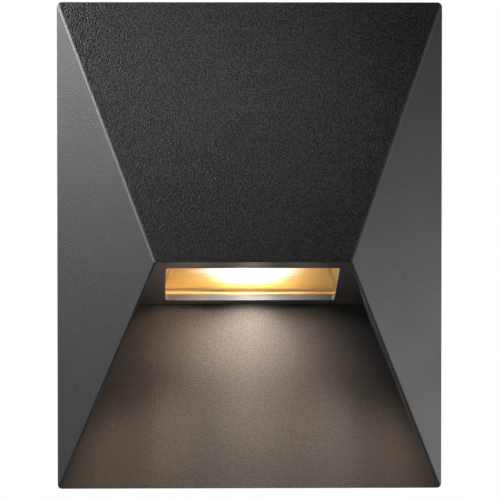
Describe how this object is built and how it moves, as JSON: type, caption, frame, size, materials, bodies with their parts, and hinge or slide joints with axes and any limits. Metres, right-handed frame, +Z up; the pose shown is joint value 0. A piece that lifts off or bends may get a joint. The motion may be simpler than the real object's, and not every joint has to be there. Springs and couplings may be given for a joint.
{
  "type": "outdoor wall light",
  "caption": "Hipped outdoor wall light: a dark textured lamp body with a lit window under its ridge pulls off a slotted wall bracket.",
  "frame": {"origin": "middle of the wall bracket's back face, on the wall, on the cable inlet's axis", "axes": "+Z up the wall, +Y into the wall, +X to the right seen from the front, which looks along -Y"},
  "size_m": [0.1186, 0.0459, 0.15],
  "materials": {
    "housing_paint": "fine textured matt powder coat",
    "foam_black": "closed-cell foam",
    "seal_silicone": "matt, amber",
    "window_glass": "clear polished",
    "reflector_warm": "metallised in gold and lacquered",
    "bare_aluminium": "mill finish",
    "zinc_steel": "zinc plated",
    "pad_grey": "matt",
    "board_white": "gloss solder mask",
    "dam_white": "matt",
    "phosphor": "matt, lit",
    "driver_plastic": "fine grained",
    "potting_resin": "poured, glossy",
    "terminal_plastic": "natural polyamide",
    "brass": "turned",
    "lead_brown": "satin insulation",
    "lead_blue": "satin insulation",
    "lead_green_yellow": "satin insulation, striped",
    "lead_red": "satin insulation",
    "lead_black": "satin insulation",
    "tinned_copper": "tin plated",
    "galvanised_steel": "galvanised",
    "grommet_rubber": "matt"
  },
  "bodies": {
    "wall_mount": {"wall_bracket": "galvanised_steel", "cable_grommet": "grommet_rubber", "side_screws": "zinc_steel"},
    "lamp_body": {"front_housing": "housing_paint", "rear_gasket": "foam_black", "window_seal": "seal_silicone", "light_window": "window_glass", "reflector": "reflector_warm", "reflector_screws": "zinc_steel", "led_carrier": "bare_aluminium", "carrier_screws": "zinc_steel", "thermal_pad": "pad_grey", "led_board": "board_white", "emitter_dam": "dam_white", "emitter_phosphor": "phosphor", "board_screws": "zinc_steel", "driver_case": "driver_plastic", "driver_potting": "potting_resin", "driver_screws": "zinc_steel", "terminal_body": "terminal_plastic", "terminal_barrels": "brass", "terminal_clamp_screws": "zinc_steel", "terminal_block_screws": "zinc_steel", "live_lead": "lead_brown", "neutral_lead": "lead_blue", "earth_lead": "lead_green_yellow", "led_lead_positive": "lead_red", "led_lead_negative": "lead_black", "earth_ring": "tinned_copper", "earth_washer": "zinc_steel", "earth_screw": "zinc_steel"}
  },
  "joints": [
    {"name": "lamp_lift_off", "type": "slide", "parent": "wall_mount", "child": "lamp_body", "axis": [0, -1, 0], "range_m": [0, 0.06]}
  ]
}
